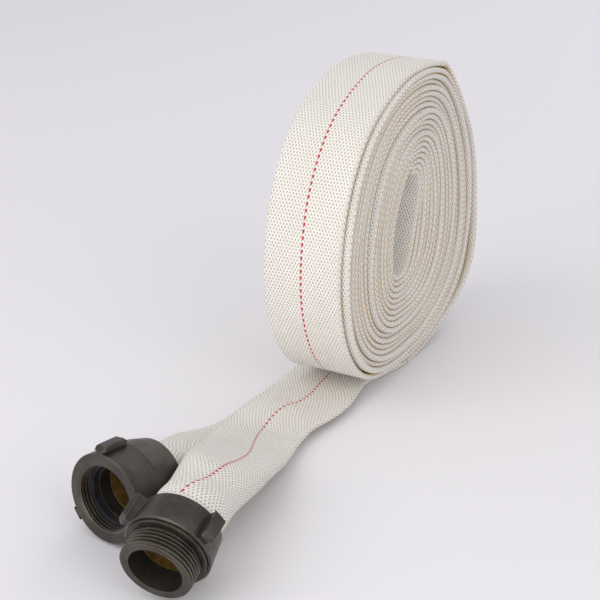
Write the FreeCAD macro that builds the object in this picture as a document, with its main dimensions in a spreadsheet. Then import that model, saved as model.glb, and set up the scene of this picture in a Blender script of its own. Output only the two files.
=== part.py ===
"""Rolled fire hose with a pair of 1 1/2 inch screw couplings.

A single-jacket lay-flat hose is folded at mid length and rolled double. The roll stands on
its edge, and both ends leave it at the bottom: the run to the male coupling lies on the run
to the female coupling. Frame: +Z up, X along the roll's axis, the couplings towards -Y, and
the origin on the ground under the middle of the roll. Millimetres and degrees.
"""

import FreeCAD, Part
import math
import os
import re
import Sketcher

Vector = FreeCAD.Vector

SIZES = [
    # the flat hose
    ("hose_width", 66.0, "lay-flat width of a 1 1/2 inch hose"),
    ("hose_thickness", 4.0, "two plies, pressed flat"),
    ("contact_gap", 0.05, "between pieces that rest on each other"),
    # the roll
    ("roll_depth", 274.5, "the wound turns, along Y"),
    ("roll_height", 261.3, "from the ground to the top"),
    ("eye_half_depth", 35.0, "the wound turns' opening, along Y"),
    ("eye_half_height", 48.0, "the wound turns' opening, along Z"),
    ("eye_y", -17.0, "middle of the opening"),
    ("eye_z", 131.0, "middle of the opening"),
    ("fold_thickness", 8.0, "the centre fold is two passes of hose"),
    ("fold_shift", 13.5, "the centre fold is set back from the roll's +X side"),
    # where the two runs lie: their middle lines
    ("run_start", 16.0, "both runs start under the roll, at this Y"),
    ("lower_near_x", -16.6, "lower run, second station"),
    ("lower_near_y", -57.0, "lower run, second station"),
    ("lower_far_x", -20.5, "lower run, third station"),
    ("lower_far_y", -137.0, "lower run, third station"),
    ("lower_end_x", -30.0, "lower run, last flat station"),
    ("lower_end_y", -196.0, "lower run, last flat station"),
    ("upper_near_x", -13.0, "upper run, second station"),
    ("upper_near_y", -62.0, "upper run, second station"),
    ("upper_far_x", -8.5, "upper run, third station"),
    ("upper_far_y", -118.0, "upper run, third station"),
    ("upper_end_x", -13.0, "upper run, last flat station"),
    ("upper_end_y", -180.0, "upper run, last flat station"),
    # both couplings
    ("waterway", 19.05, "radius of the 1 1/2 inch waterway"),
    ("bowl_bore", 22.3, "radius of the bowl that takes the hose"),
    ("thread_pitch", 2.822, "9 threads per inch"),
    ("groove_slope", 0.95, "half of a thread groove's opening, 60 degree form"),
    ("groove_root", 0.18, "half of a thread groove's flat root"),
    ("lug_neck", 6.0, "width of a rocker lug's neck"),
    ("lug_head", 9.6, "width of a rocker lug's head"),
    ("lug_head_height", 3.2, "thickness of a rocker lug's head"),
    ("lug_round", 1.0, "bevel along a lug's head"),
    ("lug_ramp", 3.0, "length of a lug's sloped end"),
    ("lug_slope", 3.4, "height of a lug's sloped end"),
    ("edge", 0.6, "broken edges"),
    # female coupling: depths count from the swivel ring's front face
    ("ring_radius", 32.5, "outside of the swivel ring"),
    ("ring_back", 24.0, "rear face of the swivel ring"),
    ("ring_lug_top", 37.9, "top of the ring's lugs, from the axis"),
    ("ring_mouth", 25.9, "radius of the lead-in chamfer"),
    ("ring_minor", 23.6, "crest radius of the internal thread"),
    ("ring_major", 25.43, "root radius of the internal thread"),
    ("thread_entry", 1.0, "end of the lead-in chamfer"),
    ("recess_radius", 26.4, "gasket recess"),
    ("recess_front", 9.6, "gasket recess"),
    ("recess_back", 14.3, "gasket recess"),
    ("race_bore", 25.6, "bore of the ring round the shank"),
    ("race_shaft", 25.55, "the shank inside the ring"),
    ("race_depth", 19.4, "middle plane of the ball race"),
    ("race_groove", 2.03, "radius of the ball race's groove"),
    ("ball_radius", 1.985, "5/32 inch bearing ball"),
    ("plug_hole", 2.75, "radius of the ball filling hole"),
    ("plug_radius", 2.7, "radius of the filling plug"),
    ("plug_foot", 27.75, "inner end of the plug, from the axis"),
    ("plug_top", 32.0, "outer end of the plug, from the axis"),
    ("slot_width", 1.0, "screwdriver slot"),
    ("slot_depth", 1.2, "screwdriver slot"),
    ("gasket_bore", 20.3, "bore of the face gasket"),
    ("gasket_outside", 26.3, "outside of the face gasket"),
    ("gasket_front", 9.7, "front of the face gasket"),
    ("gasket_back", 14.2, "back of the face gasket"),
    ("lip_front", 14.6, "the shank's sealing lip"),
    ("shank_step", 24.4, "the shank's shoulder behind the ring"),
    ("female_stop", 22.6, "end stop of the hose in the female bowl"),
    ("female_flare", 43.0, "where the female bowl starts to open"),
    ("female_back", 49.9, "rear rim of the female bowl"),
    ("female_bowl_back", 27.3, "outside of the rear rim: the bowl tapers"),
    ("female_rim", 25.6, "inside radius of the rear rim"),
    # male coupling: depths count from its front face
    ("nose_radius", 24.6, "edge of the front face"),
    ("nose_chamfer", 0.7, "length of the lead-in chamfer"),
    ("male_major", 25.275, "crest radius of the external thread"),
    ("male_root", 23.45, "root radius of the external thread"),
    ("male_thread_end", 13.3, "end of the thread"),
    ("flange_front", 15.3, "thin flange behind the thread"),
    ("flange_back", 16.7, "thin flange behind the thread"),
    ("flange_radius", 28.4, "thin flange behind the thread"),
    ("neck_radius", 27.3, "groove between flange and bowl"),
    ("bowl_front", 17.7, "front of the bowl"),
    ("bowl_radius", 30.4, "outside of the bowl at its front"),
    ("male_bowl_back", 27.8, "outside of the rear rim: the bowl tapers"),
    ("bowl_lug_top", 37.2, "top of the bowl's lugs, from the axis"),
    ("bowl_bevel", 1.0, "bevel on the front of the bowl"),
    ("male_stop", 15.9, "end stop of the hose in the male bowl"),
    ("male_flare", 36.0, "where the male bowl starts to open"),
    ("male_back", 42.2, "rear rim of the male bowl"),
    ("male_rim", 26.0, "inside radius of the rear rim"),
    # what clamps the hose in each bowl
    ("tail_gasket_bore", 19.3, "bore of the tail gasket"),
    ("tail_gasket_length", 2.4, "thickness of the tail gasket"),
    ("clamp_bore", 18.95, "bore of the brass expansion ring"),
    ("clamp_outside", 19.9, "outside of the expanded ring"),
    ("clamp_mark", 0.25, "depth of the expander's marks"),
    ("clamp_mark_width", 0.8, "width of the expander's marks"),
    ("liner_outside", 20.85, "rubber lining"),
    ("jacket_outside", 22.25, "woven jacket"),
    # how the couplings lie
    ("female_x", -37.5, "middle of the front face"),
    ("female_y", -355.5, "middle of the front face"),
    ("female_z", 34.15, "middle of the front face"),
    ("female_heading", 10.7, "from -Y towards -X"),
    ("female_pitch", 3.7, "nose up"),
    ("female_clock", -8.0, "one lug's angle from the top, towards +X"),
    ("male_x", 36.9, "middle of the front face"),
    ("male_y", -406.7, "middle of the front face"),
    ("male_z", 29.8, "middle of the front face"),
    ("male_heading", -5.6, "from -Y towards -X"),
    ("male_pitch", -16.2, "nose up"),
    ("male_clock", 180.0, "one lug's angle from the top, towards +X"),
]

# Side outline of the wound turns, from the ground up the back and down the front: Y as a
# share of the roll's depth and Z as a share of its height. The last turn stands off at the
# top of the back, where the hose keeps a sharp bend, and the foot rests on the two runs.
ROLL_OUTLINE = [
    (0.000, 0.0325), (0.095, 0.0325), (0.190, 0.0390), (0.280, 0.0600), (0.353, 0.0896),
    (0.441, 0.1473), (0.488, 0.2239), (0.499, 0.3062), (0.494, 0.4133), (0.475, 0.5453),
    (0.428, 0.6850), (0.379, 0.7673), (0.321, 0.8496), (0.266, 0.9166), (0.217, 0.9644),
    (0.144, 0.9858), (0.068, 0.9966), (-0.015, 1.0000), (-0.076, 0.9958), (-0.144, 0.9805),
    (-0.240, 0.9453), (-0.337, 0.8840), (-0.404, 0.8037), (-0.456, 0.7042), (-0.489, 0.5741),
    (-0.501, 0.4516), (-0.485, 0.3215), (-0.441, 0.2143), (-0.375, 0.1301), (-0.291, 0.0746),
    (-0.182, 0.0440), (-0.091, 0.0345),
]

# The opening ends of the hose between the flat runs and the couplings: the middle of each
# section, its heading, pitch and bank, its half width and its half thickness.
LOWER_SECTIONS = [
    ((-30.3, -197.9, 2.1), 10.0, 0.0, 0.0, 32.95, 1.95),
    ((-34.5, -218.0, 5.6), 6.0, 9.0, 6.0, 32.6, 3.2),
    ((-36.3, -242.0, 10.3), 1.0, 13.0, 8.0, 31.2, 6.5),
    ((-35.6, -265.0, 15.6), -4.0, 16.0, 6.0, 29.0, 11.2),
    ((-32.0, -286.0, 22.4), -6.0, 17.0, 3.0, 26.2, 16.8),
]
UPPER_SECTIONS = [
    ((-13.0, -180.3, 6.1), -4.0, 0.0, 0.0, 32.95, 1.95),
    ((-7.6, -206.0, 11.2), -12.0, 13.0, 6.0, 32.9, 2.3),
    ((0.0, -232.0, 18.2), -14.0, 16.0, 8.0, 32.6, 3.2),
    ((7.6, -258.0, 27.2), -14.0, 17.0, 11.0, 31.6, 5.4),
    ((15.6, -284.0, 35.2), -14.0, 15.0, 17.0, 29.6, 8.8),
    ((22.2, -309.0, 40.8), -12.0, 10.0, 23.0, 26.8, 13.0),
    ((27.0, -336.0, 41.3), -13.0, 6.0, 15.0, 24.8, 17.2),
]
BALL_COUNT = 36
CLAMP_MARKS = 8
OUTLINE_POINTS = 72
SECTION_POINTS = 24


def make_sheet(doc):
    """The driving dimensions, one row each: alias, value, meaning. Returns them as read back."""
    sheet = doc.addObject("Spreadsheet::Sheet", "Sizes")
    for row, (alias, value, meaning) in enumerate(SIZES, start=1):
        sheet.set(f"A{row}", alias)
        sheet.set(f"B{row}", str(value))
        sheet.set(f"C{row}", meaning)
        sheet.setAlias(f"B{row}", alias)
    doc.recompute()
    return {alias: sheet.get(alias) for alias, value, meaning in SIZES}


def bound(formula):
    """A formula of the sheet's aliases, as an expression that other objects can use."""
    return re.sub(r"[a-z_]+", lambda word: f"Sizes.{word.group()}", formula)


def plane(body, role):
    return next(item for item in body.Origin.OriginFeatures if item.Role == role)


def new_sketch(body, name, role, offset=None):
    """An empty sketch on one of the body's origin planes."""
    sketch = body.newObject("Sketcher::SketchObject", name)
    sketch.AttachmentSupport = [(plane(body, role), "")]
    sketch.MapMode = "FlatFace"
    if offset:
        sketch.setExpression("AttachmentOffset.Base.z", bound(offset))
    return sketch


def hold(sketch, kind, place, formula, value):
    """One distance in a sketch, bound to the sheet."""
    index = sketch.addConstraint(Sketcher.Constraint(kind, *place, value))
    sketch.setExpression(f"Constraints[{index}]", bound(formula))


def polygon(body, name, role, corners, offset=None):
    """A closed outline whose corners are pairs of formulas."""
    sketch = new_sketch(body, name, role, offset)
    count = len(corners)
    turn = 2 * math.pi / count
    spots = [Vector(30 + 9 * math.cos(turn * i), 20 + 9 * math.sin(turn * i), 0) for i in range(count)]
    for i in range(count):
        sketch.addGeometry(Part.LineSegment(spots[i], spots[(i + 1) % count]), False)
    for i in range(count):
        sketch.addConstraint(Sketcher.Constraint("Coincident", i, 2, (i + 1) % count, 1))
    for i, (across, along) in enumerate(corners):
        hold(sketch, "DistanceX", (-1, 1, i, 1), across, spots[i].x)
        hold(sketch, "DistanceY", (-1, 1, i, 1), along, spots[i].y)
    return sketch


def circle(body, name, role, across, along, radius, offset=None):
    """A round outline: its centre's two formulas and its radius."""
    sketch = new_sketch(body, name, role, offset)
    sketch.addGeometry(Part.Circle(Vector(20, 15, 0), Vector(0, 0, 1), 2), False)
    hold(sketch, "DistanceX", (-1, 1, 0, 3), across, 20)
    hold(sketch, "DistanceY", (-1, 1, 0, 3), along, 15)
    hold(sketch, "Radius", (0,), radius, 2)
    return sketch


def feature(body, kind, name, profile):
    """A PartDesign feature on a profile. It becomes the body's tip."""
    made = body.newObject(f"PartDesign::{kind}", name)
    made.Profile = profile
    made.Refine = False
    body.Tip = made
    return made


def turned(body, kind, name, profile, angle=360):
    """Material or a cut turned about the body's Z axis."""
    made = feature(body, kind, name, profile)
    made.ReferenceAxis = (profile, ["V_Axis"])
    made.Angle = angle
    body.Document.recompute()
    return made


def patterned(body, name, original, profile, axis, count):
    """Copies of a feature about the body's Z axis, which is one of its sketch's axes."""
    body.Document.recompute()
    pattern = body.newObject("PartDesign::PolarPattern", name)
    pattern.Originals = [original]
    pattern.Axis = (profile, [axis])
    pattern.Angle = 360
    pattern.Occurrences = count
    pattern.Refine = False
    body.Tip = pattern
    body.Document.recompute()


def thread_groove(body, crest, root, first, last):
    """A helical thread groove that runs out past the crest radius."""
    past = f"{crest} + ({crest} - {root}) / 8"
    profile = polygon(body, "thread_profile", "XZ_Plane", [
        (root, f"{first} - groove_root"),
        (past, f"{first} - groove_slope * 9 / 8"),
        (past, f"{first} + groove_slope * 9 / 8"),
        (root, f"{first} + groove_root"),
    ])
    helix = feature(body, "SubtractiveHelix", "thread", profile)
    helix.ReferenceAxis = (profile, ["V_Axis"])
    helix.Mode = 0
    helix.setExpression("Pitch", bound("thread_pitch"))
    helix.setExpression("Height", bound(f"{last} - ({first})"))
    body.Document.recompute()


def rocker_lugs(body, foot, top, front, back):
    """Three T-section lugs at 120 degrees, with sloped ends. foot is inside the body."""
    half = [
        (foot, "lug_neck / 2"),
        (f"{top} - lug_head_height", "lug_neck / 2"),
        (f"{top} - lug_head_height", "lug_head / 2"),
        (f"{top} - lug_round", "lug_head / 2"),
        (top, "lug_head / 2 - lug_round"),
    ]
    mirrored = [(radial, f"-({across})") for radial, across in reversed(half)]
    section = polygon(body, "lug_section", "XY_Plane", half + mirrored, offset=front)
    lug = feature(body, "Pad", "lug", section)
    lug.setExpression("Length", bound(f"{back} - ({front})"))
    patterned(body, "lugs", lug, section, "N_Axis", 3)
    for name, end, inward in (("front_ramps", front, 1), ("back_ramps", back, -1)):
        ramp = polygon(body, f"{name}_profile", "XZ_Plane", [
            (f"{top} - lug_slope", f"{end} - {inward}"),
            (f"{top} + 1", f"{end} - {inward}"),
            (f"{top} + 1", f"{end} + lug_ramp * {inward}"),
            (top, f"{end} + lug_ramp * {inward}"),
            (f"{top} - lug_slope", end),
        ])
        turned(body, "Groove", name, ramp)


def ball_race(body):
    """The groove that the bearing balls run in, half in the ring and half in the shank."""
    profile = circle(body, "race_profile", "XZ_Plane", "(race_bore + race_shaft) / 2", "race_depth", "race_groove")
    turned(body, "Groove", "race", profile)


def new_body(doc, label):
    body = doc.addObject("PartDesign::Body", label)
    body.Label = label
    return body


def swivel_ring(doc):
    body = new_body(doc, "swivel_ring")
    turned(body, "Revolution", "ring", polygon(body, "ring_profile", "XZ_Plane", [
        ("ring_mouth", "0"),
        ("ring_radius - edge", "0"),
        ("ring_radius", "edge"),
        ("ring_radius", "ring_back - edge / 3"),
        ("ring_radius - edge / 3", "ring_back"),
        ("race_bore", "ring_back"),
        ("race_bore", "recess_back"),
        ("recess_radius", "recess_back"),
        ("recess_radius", "recess_front"),
        ("ring_minor", "recess_front"),
        ("ring_minor", "thread_entry"),
    ]))
    ball_race(body)
    rocker_lugs(body, "ring_radius - 1", "ring_lug_top", "edge / 2", "ring_back - edge / 2")
    filling = circle(body, "plug_hole_profile", "YZ_Plane", "0", "race_depth", "plug_hole")
    hole = feature(body, "Pocket", "plug_hole", filling)
    hole.setExpression("Length", bound("ring_lug_top"))
    doc.recompute()
    thread_groove(body, "ring_minor", "ring_major", "thread_entry - groove_slope", "recess_front + groove_slope")
    return body


def ball_plug(doc):
    """The slotted screw in the ball filling hole, opposite a lug."""
    body = new_body(doc, "ball_plug")
    outline = circle(body, "plug_profile", "YZ_Plane", "0", "race_depth", "plug_radius", offset="-plug_top")
    shaft = feature(body, "Pad", "plug", outline)
    shaft.setExpression("Length", bound("plug_top - plug_foot"))
    doc.recompute()
    slot = polygon(body, "slot_profile", "YZ_Plane", [
        ("-slot_width / 2", "race_depth - plug_radius - 1"),
        ("slot_width / 2", "race_depth - plug_radius - 1"),
        ("slot_width / 2", "race_depth + plug_radius + 1"),
        ("-slot_width / 2", "race_depth + plug_radius + 1"),
    ], offset="-plug_top")
    cut = feature(body, "Pocket", "slot", slot)
    cut.Reversed = True
    cut.setExpression("Length", bound("slot_depth"))
    doc.recompute()
    return body


def swivel_balls(doc):
    """The full complement of balls, as one group."""
    balls = []
    for i in range(BALL_COUNT):
        angle = 360 * (i + 0.5) / BALL_COUNT
        ball = doc.addObject("Part::Sphere", f"ball_{i + 1}")
        ball.setExpression("Radius", bound("ball_radius"))
        reach = "(race_bore + race_shaft) / 2"
        ball.setExpression("Placement.Base.x", bound(reach) + f" * cos({angle} deg)")
        ball.setExpression("Placement.Base.y", bound(reach) + f" * sin({angle} deg)")
        ball.setExpression("Placement.Base.z", bound("race_depth"))
        balls.append(ball)
    group = doc.addObject("Part::Compound", "swivel_balls")
    group.Label = "swivel_balls"
    group.Links = balls
    return group


def tube(doc, label, inner, outer, front, back):
    """A plain ring about the coupling's axis."""
    body = new_body(doc, label)
    profile = polygon(body, "tube_profile", "XZ_Plane", [(inner, front), (outer, front), (outer, back), (inner, back)])
    turned(body, "Revolution", "tube", profile)
    return body


def female_shank(doc):
    body = new_body(doc, "female_shank")
    turned(body, "Revolution", "shank", polygon(body, "shank_profile", "XZ_Plane", [
        ("waterway", "lip_front"),
        ("race_shaft", "lip_front"),
        ("race_shaft", "shank_step"),
        ("ring_radius - edge", "shank_step"),
        ("ring_radius - edge / 3", "shank_step + edge / 3"),
        ("(ring_radius + female_bowl_back) / 2 + edge", "(shank_step + female_back) / 2"),
        ("female_bowl_back", "female_back - edge"),
        ("female_bowl_back - edge", "female_back"),
        ("female_rim", "female_back"),
        ("bowl_bore", "female_flare"),
        ("bowl_bore", "female_stop"),
        ("waterway", "female_stop"),
    ]))
    ball_race(body)
    return body


def male_shank(doc):
    """The shank is made in eighths, so that each stretch of the thread's crest stays short."""
    body = new_body(doc, "male_shank")
    profile = polygon(body, "shank_profile", "XZ_Plane", [
        ("waterway", "0"),
        ("nose_radius", "0"),
        ("male_major", "nose_chamfer"),
        ("male_major", "male_thread_end"),
        ("male_root", "male_thread_end"),
        ("male_root", "flange_front"),
        ("flange_radius", "flange_front"),
        ("flange_radius", "flange_back"),
        ("neck_radius", "flange_back"),
        ("neck_radius", "bowl_front"),
        ("bowl_radius - bowl_bevel", "bowl_front"),
        ("bowl_radius", "bowl_front + bowl_bevel"),
        ("male_bowl_back", "male_back - edge"),
        ("male_bowl_back - edge", "male_back"),
        ("male_rim", "male_back"),
        ("bowl_bore", "male_flare"),
        ("bowl_bore", "male_stop"),
        ("waterway", "male_stop"),
    ])
    sector = turned(body, "Revolution", "sector", profile, angle=45)
    patterned(body, "shank", sector, profile, "V_Axis", 8)
    rocker_lugs(body, "male_bowl_back - 1", "bowl_lug_top", "bowl_front + bowl_bevel + edge", "male_back - edge / 2")
    thread_groove(body, "male_major", "male_root", "-groove_slope * 5 / 4", "flange_front - groove_slope * 9 / 8")
    return body


def expansion_ring(doc, side):
    """The brass ring that spreads the hose in the bowl, with the expander's marks."""
    front = f"{side}_stop + tail_gasket_length + contact_gap"
    back = f"{side}_flare - edge"
    body = tube(doc, f"expansion_ring_{side}", "clamp_bore", "clamp_outside", front, back)
    mark = polygon(body, "mark_profile", "XY_Plane", [
        ("clamp_bore - 1", "-clamp_mark_width / 2"),
        ("clamp_bore + clamp_mark", "-clamp_mark_width / 2"),
        ("clamp_bore + clamp_mark", "clamp_mark_width / 2"),
        ("clamp_bore - 1", "clamp_mark_width / 2"),
    ], offset=f"{side}_flare")
    cut = feature(body, "Pocket", "mark", mark)
    cut.setExpression("Length", bound(f"{side}_flare - {side}_stop"))
    patterned(body, "marks", cut, mark, "N_Axis", CLAMP_MARKS)
    return body


def held_hose(doc, side):
    """What the bowl of one coupling holds: tail gasket, expansion ring, lining and jacket."""
    stop = f"{side}_stop + contact_gap"
    start = f"{stop} + tail_gasket_length"
    back = f"{side}_flare"
    return [
        tube(doc, f"tail_gasket_{side}", "tail_gasket_bore", "jacket_outside", stop, f"{start} - contact_gap"),
        expansion_ring(doc, side),
        tube(doc, f"liner_end_{side}", "clamp_outside + contact_gap", "liner_outside", start, back),
        tube(doc, f"jacket_end_{side}", "liner_outside + contact_gap", "jacket_outside", start, back),
    ]


def coupling_frame(size, side, clock=0.0):
    """Local +Z runs back into the coupling from its front face, and local +X is its top."""
    heading = math.radians(size[f"{side}_heading"])
    pitch = math.radians(size[f"{side}_pitch"])
    inward = Vector(
        math.sin(heading) * math.cos(pitch),
        math.cos(heading) * math.cos(pitch),
        -math.sin(pitch),
    )
    front = Vector(size[f"{side}_x"], size[f"{side}_y"], size[f"{side}_z"])
    turn = FreeCAD.Rotation(Vector(0, 0, 1), Vector(0, 1, 0), inward, "ZXY")
    spin = FreeCAD.Rotation(Vector(0, 0, 1), clock)
    return FreeCAD.Placement(front, turn.multiply(spin))


def soft_piece(doc, label, shape):
    piece = doc.addObject("Part::Feature", label)
    piece.Label = label
    piece.Shape = shape
    return piece


def smooth(points, closed=False):
    """A curve through points."""
    curve = Part.BSplineCurve()
    curve.interpolate(Points=points, PeriodicFlag=closed)
    return curve.toShape()


def oval(size, depth_radius, height_radius, x):
    """The eye's outline in the plane at one x."""
    points = []
    for i in range(OUTLINE_POINTS):
        angle = 2 * math.pi * i / OUTLINE_POINTS
        points.append(Vector(
            x,
            size["eye_y"] + depth_radius * math.sin(angle),
            size["eye_z"] + height_radius * math.cos(angle),
        ))
    return smooth(points, closed=True)


def slab(outline, length):
    """A solid of constant section along X."""
    return Part.Face(Part.Wire(outline)).extrude(Vector(length, 0, 0))


def hose_roll(doc, size):
    """The wound turns as one block, open in the middle."""
    width = size["hose_width"]
    points = [Vector(-width / 2, size["roll_depth"] * y, size["roll_height"] * z) for y, z in ROLL_OUTLINE]
    block = slab(smooth(points, closed=True), width)
    eye = slab(oval(size, size["eye_half_depth"], size["eye_half_height"], -width), 2 * width)
    return soft_piece(doc, "hose_roll", block.cut(eye))


def hose_centre_fold(doc, size):
    """The loop at mid length, two passes thick, that lines the eye."""
    width = size["hose_width"]
    start = -width / 2 - size["fold_shift"]
    reach = [size["eye_half_depth"] - size["contact_gap"], size["eye_half_height"] - size["contact_gap"]]
    inner = [radius - size["fold_thickness"] for radius in reach]
    loop = slab(oval(size, *reach, start), width).cut(slab(oval(size, *inner, start - 1), width + 2))
    return soft_piece(doc, "hose_centre_fold", loop)


def flat_run(doc, size, label, layer, floor, heading):
    """One flat run on the ground: a band along a curved middle line that ends at a heading."""
    stations = [Vector(0, size["run_start"], 0), Vector(0, 0, 0)]
    for place in ("near", "far", "end"):
        stations.append(Vector(size[f"{layer}_{place}_x"], size[f"{layer}_{place}_y"], 0))
    ahead = FreeCAD.Rotation(Vector(0, 0, 1), -heading).multVec(Vector(0, -1, 0))
    middle = Part.BSplineCurve()
    middle.interpolate(Points=stations, InitialTangent=Vector(0, -1, 0), FinalTangent=ahead)
    left = []
    right = []
    for i in range(13):
        at = middle.FirstParameter + (middle.LastParameter - middle.FirstParameter) * i / 12
        along = middle.tangent(at)[0]
        across = Vector(along.y, -along.x, 0) * (size["hose_width"] / 2)
        left.append(middle.value(at) + across)
        right.append(middle.value(at) - across)
    border = [
        smooth(left),
        Part.LineSegment(left[-1], right[-1]).toShape(),
        smooth(right),
        Part.LineSegment(right[0], left[0]).toShape(),
    ]
    band = Part.Face(Part.Wire(Part.__sortEdges__(border)))
    band.translate(Vector(0, 0, floor))
    thickness = size["hose_thickness"] - size["contact_gap"]
    return soft_piece(doc, label, band.extrude(Vector(0, 0, thickness)))


def section_wire(centre, across, up, half_width, half_thickness, power):
    """A section between a rounded rectangle (high power) and an ellipse (power 2).

    It is an upper and a lower curve that meet along the hose's two folded edges.
    """
    points = []
    for i in range(SECTION_POINTS):
        angle = 2 * math.pi * i / SECTION_POINTS
        c = math.cos(angle)
        s = math.sin(angle)
        points.append(
            centre
            + across * (half_width * math.copysign(abs(c) ** (2 / power), c))
            + up * (half_thickness * math.copysign(abs(s) ** (2 / power), s))
        )
    half = SECTION_POINTS // 2
    return Part.Wire([smooth(points[:half + 1]), smooth(points[half:] + points[:1])])


def hose_end(doc, size, label, side, sections):
    """The part of the hose that opens from flat to round and enters the bowl."""
    wires = []
    for i, (centre, heading, pitch, bank, half_width, half_thickness) in enumerate(sections):
        turn = FreeCAD.Rotation(Vector(0, 0, 1), -heading)
        turn = turn.multiply(FreeCAD.Rotation(Vector(1, 0, 0), -pitch))
        turn = turn.multiply(FreeCAD.Rotation(Vector(0, 1, 0), bank))
        across = turn.multVec(Vector(1, 0, 0))
        up = turn.multVec(Vector(0, 0, 1))
        power = 2 + 3 * max(0, 1 - i / 3)
        wires.append(section_wire(Vector(*centre), across, up, half_width, half_thickness, power))
    frame = coupling_frame(size, side)
    across = frame.Rotation.multVec(Vector(0, 1, 0))
    up = frame.Rotation.multVec(Vector(1, 0, 0))
    rim = size[f"{side}_rim"] - 1.9
    for depth, radius in ((size[f"{side}_back"], rim), (size[f"{side}_flare"] + 0.3, size["jacket_outside"] - 0.2)):
        centre = frame.multVec(Vector(0, 0, depth))
        wires.append(section_wire(centre, across, up, radius, radius, 2))
    return soft_piece(doc, label, Part.makeLoft(wires, True, False))


def export(doc, pieces):
    """Check every object, then write one STEP file per piece."""
    doc.recompute()
    for item in doc.Objects:
        if "Invalid" in item.State or "Error" in item.State:
            raise RuntimeError(f"{item.Label} is in error")
    for piece in pieces:
        if piece.Shape.isNull() or not piece.Shape.isValid() or not piece.Shape.Solids:
            raise RuntimeError(f"{piece.Label} has no valid solid")
    os.makedirs("parts", exist_ok=True)
    for piece in pieces:
        piece.Shape.exportStep(f"parts/{piece.Label}.step")
        box = piece.Shape.BoundBox
        print(f"{piece.Label}: {len(piece.Shape.Solids)} solids, {piece.Shape.Volume:.0f} mm3, "
              f"z {box.ZMin:.2f} to {box.ZMax:.2f}")


def build():
    doc = FreeCAD.newDocument("fire_hose")
    size = make_sheet(doc)
    second_layer = size["hose_thickness"] + size["contact_gap"]
    pieces = [
        hose_roll(doc, size),
        hose_centre_fold(doc, size),
        flat_run(doc, size, "hose_tail_female", "lower", 0.0, LOWER_SECTIONS[0][1]),
        flat_run(doc, size, "hose_tail_male", "upper", second_layer, UPPER_SECTIONS[0][1]),
        hose_end(doc, size, "hose_end_female", "female", LOWER_SECTIONS),
        hose_end(doc, size, "hose_end_male", "male", UPPER_SECTIONS),
    ]
    gasket = tube(doc, "face_gasket", "gasket_bore", "gasket_outside", "gasket_front", "gasket_back")
    turning = [swivel_ring(doc), ball_plug(doc), gasket]
    female = [female_shank(doc), swivel_balls(doc)] + held_hose(doc, "female")
    male = [male_shank(doc)] + held_hose(doc, "male")
    doc.recompute()
    for group, side in ((turning, "female"), (female, "female"), (male, "male")):
        for piece in group:
            piece.Placement = coupling_frame(size, side, size[f"{side}_clock"])
            pieces.append(piece)
    export(doc, pieces)


build()
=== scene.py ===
"""Looks for the rolled fire hose: one continuous flat hose, wound double, and its couplings."""
import math

import bpy
import numpy as np
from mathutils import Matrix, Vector


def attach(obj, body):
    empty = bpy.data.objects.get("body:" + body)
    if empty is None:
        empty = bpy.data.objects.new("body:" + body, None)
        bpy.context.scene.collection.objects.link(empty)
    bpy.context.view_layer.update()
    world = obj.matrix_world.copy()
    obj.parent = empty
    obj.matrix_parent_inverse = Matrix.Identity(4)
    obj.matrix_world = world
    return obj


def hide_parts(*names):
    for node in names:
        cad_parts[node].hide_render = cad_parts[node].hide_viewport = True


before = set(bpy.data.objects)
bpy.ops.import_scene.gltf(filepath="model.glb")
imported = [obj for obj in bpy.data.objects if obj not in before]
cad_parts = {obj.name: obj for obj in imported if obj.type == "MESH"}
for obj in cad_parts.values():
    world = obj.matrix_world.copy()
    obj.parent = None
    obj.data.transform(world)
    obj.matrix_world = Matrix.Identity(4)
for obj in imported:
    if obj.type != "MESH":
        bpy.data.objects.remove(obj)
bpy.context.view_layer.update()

MM = 0.001
HALF_WIDTH = 33.0      # the flat hose, from its middle to a folded edge, mm
HALF_THICKNESS = 2.1   # one wall of it: jacket and lining, mm
PITCH_LONG = 2.6       # weave: one pick along the hose, mm
PITCH_ACROSS = 1.35    # weave: one warp yarn across the hose, mm
PITCH_EDGE = 2.0       # the same yarns where they spread over a folded edge, mm
PERIMETER = 50 * 2 * PITCH_ACROSS   # the girth is a whole number of pairs of yarns, mm
DASH = 5.2             # tracer thread: one stitch and one gap, mm


# ---------------------------------------------------------------- camera, lights, floor

CAMERA_AZIMUTH = 27.918                # from straight in front towards +X, degrees
CAMERA_ELEVATION = 23.249              # above level, degrees
CAMERA_TARGET = (0, -142.2, 107.74)    # mm
CAMERA_DISTANCE = 1124.73              # mm
CAMERA_LENS = 88.17                    # mm
SENSOR = 36                            # mm

LIGHTS = [             # name, place, aimed at, size, power, colour
    ("key", (-0.9, -2.0, 1.8), (0, -0.1, 0.1), (2.2, 2.2), 25, (1.0, 0.985, 0.955)),
    ("side", (1.6, -1.0, 1.2), (0, -0.1, 0.1), (1.2, 1.2), 7, (1.0, 0.96, 0.90)),
    ("front", (0.1, -2.0, 0.4), (0, -0.1, 0.04), (1.2, 0.6), 8, (1.0, 0.985, 0.96)),
    ("back", (0.2, 2.0, 1.6), (0, 0, 0.1), (1.6, 1.0), 9, (1.0, 0.99, 0.99)),
]
PALE = (0.80, 0.79, 0.82)              # the floor, and the light from all round
WORLD_STRENGTH = 0.82
FLOOR_SIZE = 14                        # m
FLOOR_DROP = 0.0004                    # keeps the floor clear of what lies on it, m


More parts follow.
